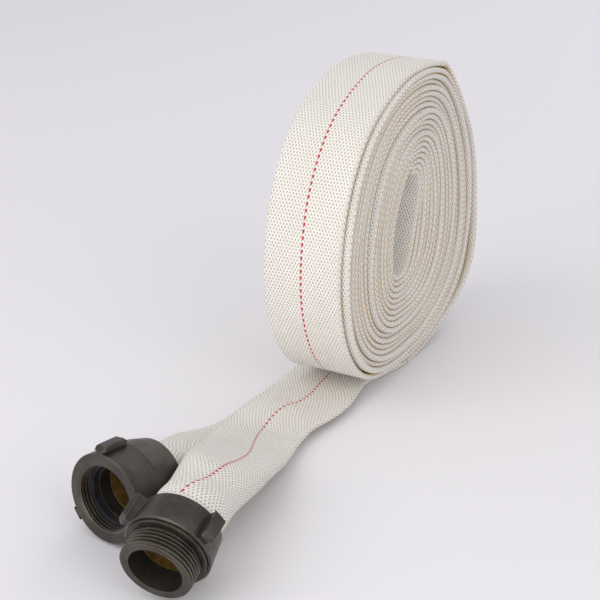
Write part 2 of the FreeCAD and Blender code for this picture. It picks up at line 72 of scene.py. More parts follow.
def make_camera():
    """The camera, at the object's viewing angle."""
    azimuth = math.radians(CAMERA_AZIMUTH)
    elevation = math.radians(CAMERA_ELEVATION)
    target = Vector(CAMERA_TARGET) * MM
    distance = CAMERA_DISTANCE * MM
    back = Vector((
        math.sin(azimuth) * math.cos(elevation),
        -math.cos(azimuth) * math.cos(elevation),
        math.sin(elevation),
    ))
    data = bpy.data.cameras.new("camera")
    data.sensor_width = SENSOR
    data.lens = CAMERA_LENS
    data.clip_start = 0.01
    data.clip_end = 50
    camera = bpy.data.objects.new("camera", data)
    camera.location = target + back * distance
    camera.rotation_euler = back.to_track_quat("Z", "Y").to_euler()
    bpy.context.scene.collection.objects.link(camera)
    bpy.context.scene.camera = camera


def area_light(name, place, aim, size, power, colour):
    """A soft box: its place and aim in metres, its power in watts."""
    data = bpy.data.lights.new(name, "AREA")
    data.shape = "RECTANGLE"
    data.size = size[0]
    data.size_y = size[1]
    data.energy = power
    data.color = colour
    light = bpy.data.objects.new(name, data)
    light.location = place
    light.rotation_euler = (Vector(place) - Vector(aim)).to_track_quat("Z", "Y").to_euler()
    bpy.context.scene.collection.objects.link(light)


def make_lights():
    """Four soft boxes and an even pale surround."""
    for light in LIGHTS:
        area_light(*light)
    world = bpy.data.worlds.new("world")
    world.use_nodes = True
    background = world.node_tree.nodes["Background"]
    background.inputs["Color"].default_value = (*PALE, 1)
    background.inputs["Strength"].default_value = WORLD_STRENGTH
    bpy.context.scene.world = world
    bpy.context.scene.view_settings.view_transform = "Standard"


# ---------------------------------------------------------------- node helpers

class Nodes:
    """A small helper that builds one material's node tree."""

    def __init__(self, name):
        self.material = bpy.data.materials.new(name)
        self.material.use_nodes = True
        self.tree = self.material.node_tree
        self.shader = self.tree.nodes["Principled BSDF"]

    def add(self, kind, **settings):
        """A new node with its settings."""
        node = self.tree.nodes.new(kind)
        for key, value in settings.items():
            setattr(node, key, value)
        return node

    def feed(self, socket, value):
        """Gives a socket a link, a colour or a plain value."""
        if isinstance(value, bpy.types.NodeSocket):
            self.tree.links.new(value, socket)
        elif isinstance(value, (tuple, list)) and len(value) == 3 and socket.type == "RGBA":
            socket.default_value = (*value, 1)
        else:
            socket.default_value = value

    def attribute(self, name):
        """A value that the hose's vertices carry."""
        node = self.add("ShaderNodeAttribute", attribute_name=name, attribute_type="GEOMETRY")
        return node.outputs["Fac"]

    def math(self, operation, first, second=None, third=None):
        """One step of arithmetic."""
        node = self.add("ShaderNodeMath", operation=operation)
        self.feed(node.inputs[0], first)
        if second is not None:
            self.feed(node.inputs[1], second)
        if third is not None:
            self.feed(node.inputs[2], third)
        return node.outputs[0]

    def ramp(self, value, low, high, out_low=0.0, out_high=1.0):
        """A smooth step from out_low to out_high."""
        node = self.add("ShaderNodeMapRange", interpolation_type="SMOOTHSTEP")
        for index, item in enumerate((value, low, high, out_low, out_high)):
            self.feed(node.inputs[index], item)
        return node.outputs[0]

    def mix(self, factor, first, second):
        """A blend of two colours."""
        node = self.add("ShaderNodeMix", data_type="RGBA")
        self.feed(node.inputs[0], factor)
        self.feed(node.inputs[6], first)
        self.feed(node.inputs[7], second)
        return node.outputs[2]

    def noise(self, scale, detail=3.0, roughness=0.5, vector=None):
        """Noise over the object's own coordinates, or over a given vector."""
        node = self.add("ShaderNodeTexNoise")
        node.inputs["Scale"].default_value = scale
        node.inputs["Detail"].default_value = detail
        node.inputs["Roughness"].default_value = roughness
        if vector is None:
            vector = self.add("ShaderNodeTexCoord").outputs["Object"]
        self.feed(node.inputs["Vector"], vector)
        return node.outputs["Fac"]

    def bump(self, height, distance, strength=1.0):
        """A normal from a height; distance is in metres."""
        node = self.add("ShaderNodeBump")
        node.inputs["Strength"].default_value = strength
        node.inputs["Distance"].default_value = distance
        self.feed(node.inputs["Height"], height)
        return node.outputs["Normal"]


def floor_material():
    """Matt pale paper."""
    n = Nodes("floor")
    n.feed(n.shader.inputs["Base Color"], PALE)
    grain = n.noise(900, 2)
    n.feed(n.shader.inputs["Roughness"], n.ramp(grain, 0.3, 0.7, 0.75, 0.85))
    n.feed(n.shader.inputs["Specular IOR Level"], 0.2)
    return n.material


def make_floor():
    """The plain floor that the object lies on."""
    bpy.ops.mesh.primitive_plane_add(size=FLOOR_SIZE, location=(0, 0, -FLOOR_DROP))
    floor = bpy.context.object
    floor.name = "floor"
    floor.data.materials.append(floor_material())


# ---------------------------------------------------------------- the woven jacket

CREAM_DARK = (0.80, 0.765, 0.69)
CREAM_LIGHT = (0.90, 0.88, 0.83)
# painted highlight on the crests of the yarns
YARN_CREST_HIGHLIGHT = (0.98, 0.975, 0.95)
YARN_GAP_SHADE = (0.27, 0.225, 0.175)             # painted shade in the gaps between the yarns
EDGE_GAP_SHADE = (0.42, 0.38, 0.33)          # the same painted shade, lighter, on a folded edge
SPECK = (0.72, 0.66, 0.55)
VALLEY_SHADE = (0.62, 0.43, 0.16)             # painted warm shade along the valleys between passes
TRACER = (0.60, 0.012, 0.022)


def jacket_material():
    """Plain weave from the hose's own length and girth coordinates, with a tracer thread."""
    n = Nodes("woven_jacket")
    uv = n.add("ShaderNodeUVMap", uv_map="weave").outputs["UV"]
    split = n.add("ShaderNodeSeparateXYZ")
    n.feed(split.inputs[0], uv)
    along, around = split.outputs[0], split.outputs[1]   # both in mm

    drift = n.noise(1.0, 2, 0.5, n_vector(n, along, around, 0.045, 0.09))
    sway = n.math("MULTIPLY_ADD", drift, 1.6, -0.8)
    u = n.math("ADD", along, sway)

    pick = n.math("SINE", n.math("MULTIPLY", u, math.pi / PITCH_LONG))
    warp = n.math("SINE", n.math("MULTIPLY", around, math.pi / PITCH_ACROSS))
    from_edge = n.math("SUBTRACT", n.math("ABSOLUTE", around), PERIMETER / 4)
    near_edge = n.ramp(n.math("ABSOLUTE", from_edge), 2.2, 3.6, 1.0, 0.0)
    on_edge = n.math("MULTIPLY", n.attribute("wound"), near_edge)
    open_warp = n.math("SINE", n.math("MULTIPLY", from_edge, math.pi / PITCH_EDGE))
    warp = n.math("ADD", n.math("MULTIPLY", warp, n.math("SUBTRACT", 1.0, on_edge)),
                  n.math("MULTIPLY", open_warp, on_edge))
    checker = n.math("MULTIPLY", pick, warp)
    crown = n.math("MULTIPLY_ADD", checker, 0.5, 0.5)
    groove = n.math("ABSOLUTE", warp)
    height = n.math("MULTIPLY_ADD", groove, 0.25, crown)

    fibre = n.noise(1.0, 4, 0.6, n_vector(n, along, around, 0.9, 6.0))
    height = n.math("MULTIPLY_ADD", fibre, 0.18, height)

    cream = n.mix(n.noise(1.0, 3, 0.55, n_vector(n, along, around, 0.012, 0.03)),
                  CREAM_DARK, CREAM_LIGHT)
    # painted shade in the gaps between the yarns, lighter on a folded edge, and a painted
    # highlight on their crests
    gap = n.ramp(crown, 0.02, 0.46, 1.0, 0.0)
    edge_gap_shade = n.ramp(crown, 0.30, 0.80, 1.0, 0.0)
    gap_shade_depth = n.math("MULTIPLY_ADD", on_edge, -0.4, 0.86)
    colour = n.mix(n.math("MULTIPLY", gap, gap_shade_depth), cream, YARN_GAP_SHADE)
    edge_gap_shade_depth = n.math("MULTIPLY", on_edge, 0.36)
    colour = n.mix(n.math("MULTIPLY", edge_gap_shade, edge_gap_shade_depth), colour, EDGE_GAP_SHADE)
    crest_highlight = n.ramp(crown, 0.62, 1.0, 0.0, 0.6)
    colour = n.mix(crest_highlight, colour, YARN_CREST_HIGHLIGHT)
    specks = n.noise(1.0, 2, 0.5, n_vector(n, along, around, 0.5, 0.5))
    colour = n.mix(n.ramp(specks, 0.62, 0.8, 0.0, 0.35), colour, SPECK)

    # painted warm shade in the valleys where a neighbouring pass lies on this one, patchy along
    # the hose
    from_middle = n.math("SUBTRACT", PERIMETER / 4, n.math("ABSOLUTE", from_edge))
    beyond = n.math("SUBTRACT", from_middle, n.attribute("contact"))
    cloud = n.noise(1.0, 2, 0.5, n_vector(n, along, around, 0.008, 0.0))
    patchy = n.math("MULTIPLY", n.attribute("crease_shade"), n.ramp(cloud, 0.38, 0.6, 0.35, 1.0))
    valley_shade = n.math("MULTIPLY", patchy, n.ramp(beyond, -0.2, 2.1, 1.0, 0.0))
    colour = n.mix(n.math("MULTIPLY", valley_shade, 0.85), colour, VALLEY_SHADE)

    off_line = n.math("ABSOLUTE", around)
    on_line = n.ramp(off_line, 0.62, 0.92, 1.0, 0.0)
    beat = n.math("FRACT", n.math("DIVIDE", along, DASH))
    stitch = n.math("MULTIPLY", n.ramp(beat, 0.04, 0.12), n.ramp(beat, 0.56, 0.66, 1.0, 0.0))
    tracer = n.math("MULTIPLY", on_line, stitch)
    colour = n.mix(tracer, colour, TRACER)
    height = n.math("MULTIPLY_ADD", tracer, 0.5, height)

    n.feed(n.shader.inputs["Base Color"], colour)
    n.feed(n.shader.inputs["Roughness"], n.ramp(crown, 0.0, 1.0, 0.85, 0.52))
    n.feed(n.shader.inputs["Specular IOR Level"], 0.35)
    n.feed(n.shader.inputs["Sheen Weight"], 0.25)
    n.feed(n.shader.inputs["Sheen Roughness"], 0.5)
    n.feed(n.shader.inputs["Normal"], n.bump(height, 0.0008, 0.9))
    return n.material


def n_vector(n, along, around, scale_along, scale_around):
    """The hose's coordinates as a texture vector, stretched by two scales."""
    node = n.add("ShaderNodeCombineXYZ")
    n.feed(node.inputs[0], n.math("MULTIPLY", along, scale_along))
    n.feed(node.inputs[1], n.math("MULTIPLY", around, scale_around))
    return node.outputs[0]


def lining_material():
    """Black rubber inside the hose."""
    n = Nodes("rubber_lining")
    mottle = n.noise(180, 4)
    rubber = n.mix(mottle, (0.018, 0.018, 0.018), (0.035, 0.034, 0.032))
    n.feed(n.shader.inputs["Base Color"], rubber)
    n.feed(n.shader.inputs["Roughness"], n.ramp(mottle, 0.3, 0.7, 0.55, 0.7))
    n.feed(n.shader.inputs["Normal"], n.bump(mottle, 0.0002, 0.4))
    return n.material


# ---------------------------------------------------------------- the hose's route

# Lengths are in mm. The number of passes is an estimate.
ROLL_CENTRE = np.array([0.0, 129.8])   # (y, z)
EYE_CENTRE = np.array([-4.0, 130.5])   # the opening in the middle of the roll
EYE_REACH = np.array([18.0, 40.0])     # its half depth and half height
EYE_SQUARENESS = 2.6   # 2 is an ellipse; more gives fuller corners
EYE_LEAN = 0.28        # the eye leans back: mm along Y for each mm of height
PASSES = 20.5          # passes of hose between the outline and the eye, at the bottom
TURNS = 9.5            # turns of each half, from the runs to the centre fold
OUTLINE = [            # outside of the outermost turn (y, z), from the ground up the back
    (0, -0.1), (24, 0.6), (45, 4.6), (63, 11.0), (97, 23.4), (121, 38.5), (134, 58.5),
    (137, 80), (135.5, 108), (130.5, 142.5), (117.5, 179), (104, 200.5), (88, 222),
    (73, 239.5), (65, 247.5), (59.5, 252), (51, 255), (39.4, 257.6), (18.7, 260.4),
    (-4, 261.3), (-20.8, 260.2), (-39.5, 256.2), (-66, 247), (-92.5, 231), (-111, 210),
    (-125.1, 184), (-134.3, 150), (-137.5, 118), (-133, 84), (-121, 56), (-103, 34),
    (-80, 19.5), (-50, 11.9), (-25, 9.3), (0, 8.79),
]
OUTLINE_STEPS = 1440   # places round the outline at which its radius is kept
SOFTENING = 0.035      # how far round the roll the inner passes smooth its bumps, in turns
SOFT_STEPS = 150       # the steps either way that take part in that
BUMP_SHARE = 0.025     # share of the roll's depth that follows the bumps in full
BUMP_FADE = 0.055      # share of the depth over which they fade
TIGHT_PITCH = 4.55     # passes further apart than this lie loose
MOST_SLACK = 0.55      # the furthest that a loose pass wanders
SECTION_STEP = 4.0     # between sections of the wound hose
LEAST_REACH = 25       # the least radius at which that step is worked out
NEAR = 0.002           # turns over which a heading is read
PITCH_FILL = 0.49      # half thickness of a pass as a share of the pitch
SWELL = 0.7            # how much fuller a wound pass is than a flat run


def spline(knots, values, at):
    """Natural cubic through values (n, m) at knots (n), read at the given places."""
    knots = np.asarray(knots, float)
    values = np.asarray(values, float)
    if values.ndim == 1:
        values = values[:, None]
    count = len(knots)
    gaps = np.diff(knots)
    matrix = np.eye(count)
    right = np.zeros_like(values)
    for i in range(1, count - 1):
        matrix[i, i - 1] = gaps[i - 1]
        matrix[i, i] = 2 * (gaps[i - 1] + gaps[i])
        matrix[i, i + 1] = gaps[i]
        slope, last_slope = ((values[k + 1] - values[k]) / gaps[k] for k in (i, i - 1))
        right[i] = 6 * (slope - last_slope)
    bend = np.linalg.solve(matrix, right)
    at = np.clip(np.asarray(at, float), knots[0], knots[-1])
    i = np.clip(np.searchsorted(knots, at) - 1, 0, count - 2)
    g = gaps[i][:, None]
    a = (knots[i + 1] - at)[:, None]
    b = (at - knots[i])[:, None]
    return (bend[i] * a**3 / (6 * g) + bend[i + 1] * b**3 / (6 * g)
            + (values[i] / g - bend[i] * g / 6) * a
            + (values[i + 1] / g - bend[i + 1] * g / 6) * b)


def smoothstep(x, low, high):
    """0 below low, 1 above high and an S between."""
    t = np.clip((np.asarray(x, float) - low) / (high - low), 0, 1)
    return t * t * (3 - 2 * t)


def wave_noise(x, seed, wavelengths):
    """A smooth, repeatable wiggle from -1 to 1: a few sines with fixed phases."""
    rng = np.random.default_rng(seed)
    total = np.zeros_like(np.asarray(x, float))
    for length in wavelengths:
        total = total + np.sin(2 * math.pi * x / length + rng.uniform(0, 2 * math.pi))
    return total / len(wavelengths)


def outline_table():
    """Outline radius against turn fraction, as listed and smoothed."""
    points = np.array(OUTLINE, float) - ROLL_CENTRE
    turn = np.unwrap(np.arctan2(points[:, 0], -points[:, 1])) / (2 * math.pi)
    turn[0], turn[-1] = 0.0, 1.0
    radius = np.hypot(points[:, 0], points[:, 1])
    grid = np.linspace(0, 1, OUTLINE_STEPS + 1)
    sharp = spline(turn, radius, grid)[:, 0]
    kernel_at = np.arange(-SOFT_STEPS, SOFT_STEPS + 1) / OUTLINE_STEPS
    kernel = np.exp(-0.5 * (kernel_at / SOFTENING) ** 2)
    kernel /= kernel.sum()
    before, after = np.full(SOFT_STEPS, sharp[0]), np.full(SOFT_STEPS, sharp[-1])
    padded = np.concatenate([before, sharp, after])
    soft = np.convolve(padded, kernel, "valid")
    keep = smoothstep(grid, 0.0, 0.12) * (1 - smoothstep(grid, 0.90, 1.0))
    soft = sharp + (soft - sharp) * keep
    return grid, sharp, soft


GRID, SHARP, SOFT = outline_table()


def wound_point(half, turn):
    """Middle of the hose in the roll (y, z) and the pitch of its passes there, in mm.

    half is 0 for the lower run's half and 1 for the upper run's, which lies inside it.
    """
    turn = np.asarray(turn, float)
    whole = np.floor(turn + 1e-9)
    part = np.clip(turn - whole, 0, 1)
    order = half + 2 * whole
    share = (order + 0.5) / (PASSES - 2 * part)
    angle = 2 * math.pi * part
    direction = np.stack([np.sin(angle), -np.cos(angle)], -1)
    fade = np.exp(-np.maximum(share - BUMP_SHARE, 0) / BUMP_FADE)
    sharp, soft = np.interp(part, GRID, SHARP), np.interp(part, GRID, SOFT)
    radius = soft + (sharp - soft) * fade
    outer = ROLL_CENTRE + direction * radius[..., None]
    fullness = (np.abs(direction) ** EYE_SQUARENESS).sum(-1) ** (-1 / EYE_SQUARENESS)
    inner = EYE_CENTRE + direction * EYE_REACH * fullness[..., None]
    inner[..., 0] += EYE_LEAN * (inner[..., 1] - EYE_CENTRE[1])
    middle = outer + (inner - outer) * share[..., None]
    pitch = np.hypot(*(outer - inner).T) / (PASSES - 2 * part)
    slack = np.clip((pitch - TIGHT_PITCH) / 2, 0, MOST_SLACK)
    wander = slack * wave_noise(turn + 31 * half, 5 + half, (0.9, 0.53, 0.31))
    return middle - direction * wander[..., None], pitch


# How far each half stands sideways out of the roll, in mm, at the back and front of every turn.
STAGGER = [
    [3.0, -2.0, 1.8, -0.6, 0.4, 0.0, -1.4, -1.0, 1.2, 2.6,
     -0.6, -0.4, 0.6, -0.8, -1.6, -2.4, -3.0, -3.6, -4.6],
    [-1.4, 2.8, -1.4, 0.2, 1.4, -0.8, -0.6, -1.2, -0.4, 2.0,
     -1.4, -0.8, -1.2, -1.4, -2.4, -3.0, -3.2, -4.6, -5.2],
]


def stagger(half, turn):
    """How far a pass stands sideways out of the roll, in mm."""
    turn = np.asarray(turn, float)
    knots = 0.25 + 0.5 * np.arange(len(STAGGER[half]))
    placed = spline(knots, STAGGER[half], turn)[:, 0]
    wiggle = 0.6 * wave_noise(turn, 40 + half, (0.37, 0.23))
    rise = smoothstep(turn, 0.0, 0.2)
    leaving = -3.0 * (1 - smoothstep(turn, 0.0, 0.12))
    return (placed + wiggle) * rise + leaving


def wound_sections(half):
    """The wound part of one half, from the run to the centre fold."""
    turns = [0.0]
    while turns[-1] < TURNS:
        here, _ = wound_point(half, np.array([turns[-1]]))
        eye_shift = (EYE_CENTRE - ROLL_CENTRE) * turns[-1] / TURNS
        reach = np.hypot(*(here[0] - ROLL_CENTRE - eye_shift))
        turns.append(turns[-1] + SECTION_STEP / (2 * math.pi * max(reach, LEAST_REACH)))
    turns = np.array(turns[:-1] + [TURNS])
    middle, pitch = wound_point(half, turns)
    shift = stagger(half, turns)
    ahead, _ = wound_point(half, np.minimum(turns + NEAR, TURNS))
    behind, _ = wound_point(half, np.maximum(turns - NEAR, 0))
    heading = ahead - behind
    heading /= np.hypot(*heading.T)[:, None]
    places = np.column_stack([shift, middle])
    forward = np.column_stack([np.zeros(len(turns)), heading])
    thick = np.minimum(pitch * PITCH_FILL, HALF_THICKNESS + SWELL * smoothstep(turns, 0.0, 0.3))
    thick = thick * (1 + 0.03 * wave_noise(turns, 70 + half, (0.21, 0.13)))
    return turns, places, forward, thick


# Sections of the two ends: middle, heading, pitch, bank, half width, half thickness, roundness.
LOWER_RUN = [
    ((-3.0, 0.0, 2.2), 8.0, 0.0, 0.0, 33.0, 2.1, 0.0),
    ((-9.0, -25.0, 2.2), 12.0, 0.0, 0.0, 33.0, 2.1, 0.0),
    ((-16.6, -57.0, 2.2), 6.0, 0.0, 0.0, 33.0, 2.1, 0.0),
    ((-17.5, -97.0, 2.2), 3.0, 0.0, 0.0, 33.0, 2.1, 0.0),
    ((-20.5, -137.0, 2.2), 7.0, 0.0, 0.0, 33.0, 2.1, 0.0),
    ((-30.3, -197.9, 2.4), 12.0, 0.0, 0.5, 33.0, 2.1, 0.0),
    ((-34.5, -218.0, 5.6), 6.0, 9.0, 6.0, 32.6, 3.2, 0.2),
    ((-36.3, -242.0, 10.3), 1.0, 13.0, 8.0, 31.2, 6.5, 0.5),
    ((-35.6, -265.0, 15.6), -4.0, 16.0, 6.0, 29.0, 11.2, 0.8),
    ((-32.0, -286.0, 22.4), -6.0, 17.0, 3.0, 26.2, 16.8, 1.0),
]
UPPER_RUN = [
    ((-3.0, 0.0, 6.56), 8.0, 0.0, 0.0, 33.0, 2.1, 0.0),
    ((-7.5, -25.0, 6.5), 11.0, 0.0, 0.0, 33.0, 2.1, 0.0),
    ((-13.3, -62.0, 6.5), 1.0, 0.0, 0.0, 33.3, 2.1, 0.0),
    ((-9.6, -93.0, 6.5), -5.0, 0.0, 0.0, 33.8, 2.1, 0.0),
    ((-8.0, -118.0, 6.6), 4.0, 0.0, 0.0, 33.8, 2.1, 0.0),
    ((-12.5, -145.0, 6.8), 4.0, 0.0, 0.0, 33.4, 2.1, 0.0),
    ((-13.0, -180.0, 6.8), -4.0, 0.0, 0.0, 33.2, 2.1, 0.0),
    ((-7.6, -206.0, 11.2), -12.0, 13.0, 6.0, 32.9, 2.3, 0.05),
    ((0.0, -232.0, 18.2), -14.0, 16.0, 8.0, 32.6, 3.2, 0.15),
    ((7.6, -258.0, 27.2), -14.0, 17.0, 11.0, 31.6, 5.4, 0.4),
    ((15.6, -284.0, 35.2), -14.0, 15.0, 17.0, 29.6, 8.8, 0.65),
    ((22.0, -309.0, 40.7), -12.0, 10.0, 23.0, 26.8, 13.0, 0.85),
    ((26.8, -336.0, 41.2), -13.0, 6.0, 15.0, 24.8, 17.2, 1.0),
]
# Front face centre, heading, pitch, depth of the rear rim and of the flare, rim radius.
COUPLINGS = {
    "female": ((-37.5, -355.5, 34.15), 10.7, 3.7, 49.9, 43.0, 25.6),
    "male": ((36.9, -406.7, 29.8), -5.6, -16.2, 42.2, 36.0, 26.0),
}
# How far the tracer wanders from the middle of the upper run, at distances in front of the roll.
TRACER_DRIFT = (
    (0, 60, 130, 180, 210, 240, 280, 320, 360),
    (0, 0, 2.5, 1.0, -2.0, -5.0, -4.0, 0.0, 0.0),
)
RUN_STEP = 3.0         # between sections of a run
BEHIND_RIM = 1.5       # the hose enters its bowl from this far behind the rear rim
INSIDE_RIM = 1.9       # its gap to the rim there
BEHIND_FLARE = 0.3     # it ends this far behind the flare, on the cut jacket end
END_RADIUS = 22.05     # its radius there


def turned_axes(heading, pitch, bank):
    """Side and up directions of a section."""
    h, p, b = (math.radians(angle) for angle in (heading, pitch, bank))
    side = np.array([math.cos(h), -math.sin(h), 0.0])
    ahead = np.array([-math.sin(h) * math.cos(p), -math.cos(h) * math.cos(p), math.sin(p)])
    up = np.cross(side, -ahead)
    return side * math.cos(b) - up * math.sin(b), up * math.cos(b) + side * math.sin(b)


def coupling_axes(name):
    """A coupling's front face centre, side, up and inward directions, and its rim."""
    front, heading, pitch, back, flare, rim = COUPLINGS[name]
    h, p = math.radians(heading), math.radians(pitch)
    inward = np.array([math.sin(h) * math.cos(p), math.cos(h) * math.cos(p), -math.sin(p)])
    up = np.array([0, 0, 1.0]) - inward * inward[2]
    up /= np.linalg.norm(up)
    return np.array(front), np.cross(inward, up), up, inward, back, flare, rim


def run_sections(run, name):
    """A run from the roll to its coupling, resampled along its length."""
    stations = []
    for middle, heading, pitch, bank, width, thick, roundness in run:
        side, up = turned_axes(heading, pitch, bank)
        stations.append([*middle, *side, *up, width, thick, roundness])
    front, side, up, inward, back, flare, rim = coupling_axes(name)
    ends = ((back + BEHIND_RIM, rim - INSIDE_RIM), (flare + BEHIND_FLARE, END_RADIUS))
    for depth, radius in ends:
        stations.append([*(front + inward * depth), *side, *up, radius, radius, 1.0])
    stations = np.array(stations)
    steps = np.linalg.norm(np.diff(stations[:, :3], axis=0), axis=1)
    length = np.concatenate([[0], np.cumsum(steps)])
    at = np.linspace(0, length[-1], int(length[-1] / RUN_STEP) + 1)
    return spline(length, stations, at)


RING = 24                      # points round a section
FLAT_STOPS = (0, 0.4, 0.8, 1.0)   # where they lie along half of a flat face
EDGE_STEPS = 6                 # steps round a folded edge
HOLLOW = 0.13                  # how far the flat faces sink in their middle


def ring_shape(width, thick, roundness):
    """Section outline (across, through) and the girth coordinate of each of its points.

    Point 0 is the middle of the marked face, and the girth runs towards +across.
    """
    flat = max(width - thick, 0.01)
    arc = math.pi * thick
    girth = 4 * flat + 2 * arc
    v = [m * flat for m in FLAT_STOPS]
    v += [flat + arc * k / EDGE_STEPS for k in range(1, EDGE_STEPS)]
    v += [flat + arc + flat * (1 - m) for m in reversed(FLAT_STOPS)]
    v = np.array(v) / girth
    v = v + (np.arange(len(v)) / RING - v) * roundness
    at = v * girth
    on_face, before_back = at < flat, at < flat + arc
    bend = (at - flat) / thick
    round_edge, back = flat + thick * np.sin(bend), 2 * flat + arc - at
    x = np.where(on_face, at, np.where(before_back, round_edge, back))
    y = np.where(on_face, thick, np.where(before_back, thick * np.cos(bend), -thick))
    y = y * (1 - HOLLOW * (1 - roundness) * (1 - smoothstep(np.abs(x) / width, 0.5, 0.9)))
    angle = math.pi / 2 - 2 * math.pi * v
    x = x + (width * np.cos(angle) - x) * roundness
    y = y + (thick * np.sin(angle) - y) * roundness
    x = np.concatenate([x, -x[-2:0:-1]])
    y = np.concatenate([y, y[-2:0:-1]])
    v = np.concatenate([v, 1 - v[-2:0:-1]])
    return x, y, v


def run_part(run, name, downward):
    """One run as a stretch of the route, from the roll to its coupling."""
    rows = run_sections(run, name)
    middle, side, up = rows[:, :3], -rows[:, 3:6], rows[:, 6:9]
    side = side / np.linalg.norm(side, axis=1)[:, None]
    up = up / np.linalg.norm(up, axis=1)[:, None]
    return {
        "middle": middle, "side": side, "face": -up if downward else up,
        "width": rows[:, 9], "thick": rows[:, 10], "round": np.clip(rows[:, 11], 0, 1),
        "turn": np.zeros(len(rows)),
    }


def wound_part(half):
    """One half's wound turns as a stretch of the route, from its run to the centre fold."""
    turns, places, forward, thick = wound_sections(half)
    travel = forward if half == 0 else -forward
    side = np.tile([-1.0, 0, 0], (len(turns), 1))
    return {
        "middle": places, "side": side, "face": np.cross(side, travel),
        "width": np.full(len(turns), HALF_WIDTH), "thick": thick, "round": np.zeros(len(turns)),
        "turn": turns,
    }


def fold_part(outer, inner):
    """The hairpin that joins the two halves at mid length."""
    start, end = outer["middle"][-1], inner["middle"][-1]
    centre = (start + end) / 2
    reach = start - centre
    ahead = np.cross(outer["face"][-1], outer["side"][-1])
    ahead = ahead * np.linalg.norm(reach)
    angle = np.linspace(0, math.pi, 9)[1:-1]
    middle = centre + np.outer(np.cos(angle), reach) + np.outer(np.sin(angle), ahead)
    face = (middle - centre) / np.linalg.norm(reach)
    count = len(angle)
    return {
        "middle": middle, "side": np.tile([-1.0, 0, 0], (count, 1)), "face": face,
        "width": np.full(count, HALF_WIDTH), "thick": np.full(count, outer["thick"][-1]),
        "round": np.zeros(count), "turn": np.full(count, TURNS),
    }


def whole_route():
    """The hose from the female coupling to the male one, and the parts' first indices."""
    parts = [
        reverse(run_part(LOWER_RUN, "female", True)),
        wound_part(0),
        None,
        reverse(wound_part(1)),
        run_part(UPPER_RUN, "male", False),
    ]
    parts[2] = fold_part(parts[1], reverse(parts[3]))
    parts[0] = {key: value[:-1] for key, value in parts[0].items()}
    parts[4] = {key: value[1:] for key, value in parts[4].items()}
    route = {key: np.concatenate([part[key] for part in parts]) for key in parts[0]}
    starts = np.cumsum([0] + [len(part["turn"]) for part in parts])
    steps = np.linalg.norm(np.diff(route["middle"], axis=0), axis=1)
    route["along"] = np.concatenate([[0], np.cumsum(steps)])
    return route, starts


def reverse(part):
    """The same stretch from its other end."""
    return {key: value[::-1] for key, value in part.items()}


BUCKLE = 4.2           # height of the upper run's buckle
RIPPLE = 0.5           # height of the small ripples beside it
GROUND_GAP = 0.05      # nothing lies lower than this
COVERED = 30.8         # the next pass covers a pass this far out from its middle
MOST_COVERED = 31.6
RUN_VALLEY_SHADE = 0.5        # the runs' hidden faces get half as much painted shade


def buckle(middle, across):
    """How far the upper run lifts off the lower one, at one section: a low buckle."""
    y = middle[1]
    rise = smoothstep(-y, 122, 141) * (1 - smoothstep(-y, 143, 182))
    spread = np.exp(-0.5 * ((across + 6) / 15.0) ** 2)
    ripple = (RIPPLE * math.sin(y / 11.0)
              * smoothstep(-y, 60, 120) * (1 - smoothstep(-y, 190, 215)))
    ripple_spread = np.exp(-0.5 * ((across + 14) / 12.0) ** 2)
    return BUCKLE * rise * spread + ripple * ripple_spread + abs(ripple)


def rings(route, starts):
    """Every section's outline in space, its girth coordinates, its painted valley shade and its
    contact line.
    """
    count = len(route["turn"])
    points = np.zeros((count, RING, 3))
    around = np.zeros((count, RING + 1))
    crease_shade = np.zeros((count, RING))
    contact = np.zeros((count, RING))
    for i in range(count):
        x, y, v = ring_shape(route["width"][i], route["thick"][i], route["round"][i])
        middle, side, face = (route[key][i] for key in ("middle", "side", "face"))
        lift, drift = np.zeros(RING), 0.0
        if i >= starts[4]:   # on the upper run
            lift = buckle(middle, -x)
            drift = float(spline(*TRACER_DRIFT, [-middle[1]])[0, 0])
        points[i] = middle + np.outer(x, side) + np.outer(y + lift, face)
        around[i] = np.append(v, 1.0) * PERIMETER - drift
        crease_shade[i], contact[i] = valley_shade_values(i, starts, route["turn"][i], x, y)
    around[:, RING // 2 + 1:] -= PERIMETER
    points[..., 2] = np.maximum(points[..., 2], GROUND_GAP)
    return points, around, crease_shade, contact


def valley_shade_values(i, starts, turn, x, y):
    """How much painted shade each point's face gets, and how far out the neighbouring pass covers
    it, in mm.

    The jacket gets painted shade along the valleys, where two passes lie on each other.
    """
    covered = np.full(RING, COVERED)
    if i < starts[1] or i >= starts[4]:
        return np.where((y > 0) == (i < starts[1]), RUN_VALLEY_SHADE, 0.0), covered
    if starts[2] <= i < starts[3]:
        return np.zeros(RING), covered
    half = 0 if i < starts[2] else 1
    outward = (y > 0) == (half == 0)
    other = 1 - half
    outer_turn = turn - 1 if half == 0 else turn
    inner_turn = turn if half == 0 else turn + 1
    outer_weight = float(smoothstep(outer_turn, -0.06, 0.0))
    inner_weight = float(inner_turn < TURNS - 0.02)
    own = stagger(half, [turn])[0]
    step_out = own - stagger(other, [max(outer_turn, 0.0)])[0]
    step_in = own - stagger(other, [min(inner_turn, TURNS)])[0]
    proud = np.where(outward, step_out, step_in) * np.where(x < 0, 1, -1)
    weight = np.where(outward, outer_weight, inner_weight)
    return weight, np.minimum(covered - proud, MOST_COVERED)


def lining_ring(route, i):
    """The rubber lining's inside at one section, one wall's thickness in."""
    width, thick = (route[key][i] - HALF_THICKNESS for key in ("width", "thick"))
    x, y, _ = ring_shape(width, thick, route["round"][i])
    return route["middle"][i] + np.outer(x, route["side"][i]) + np.outer(y, route["face"][i])


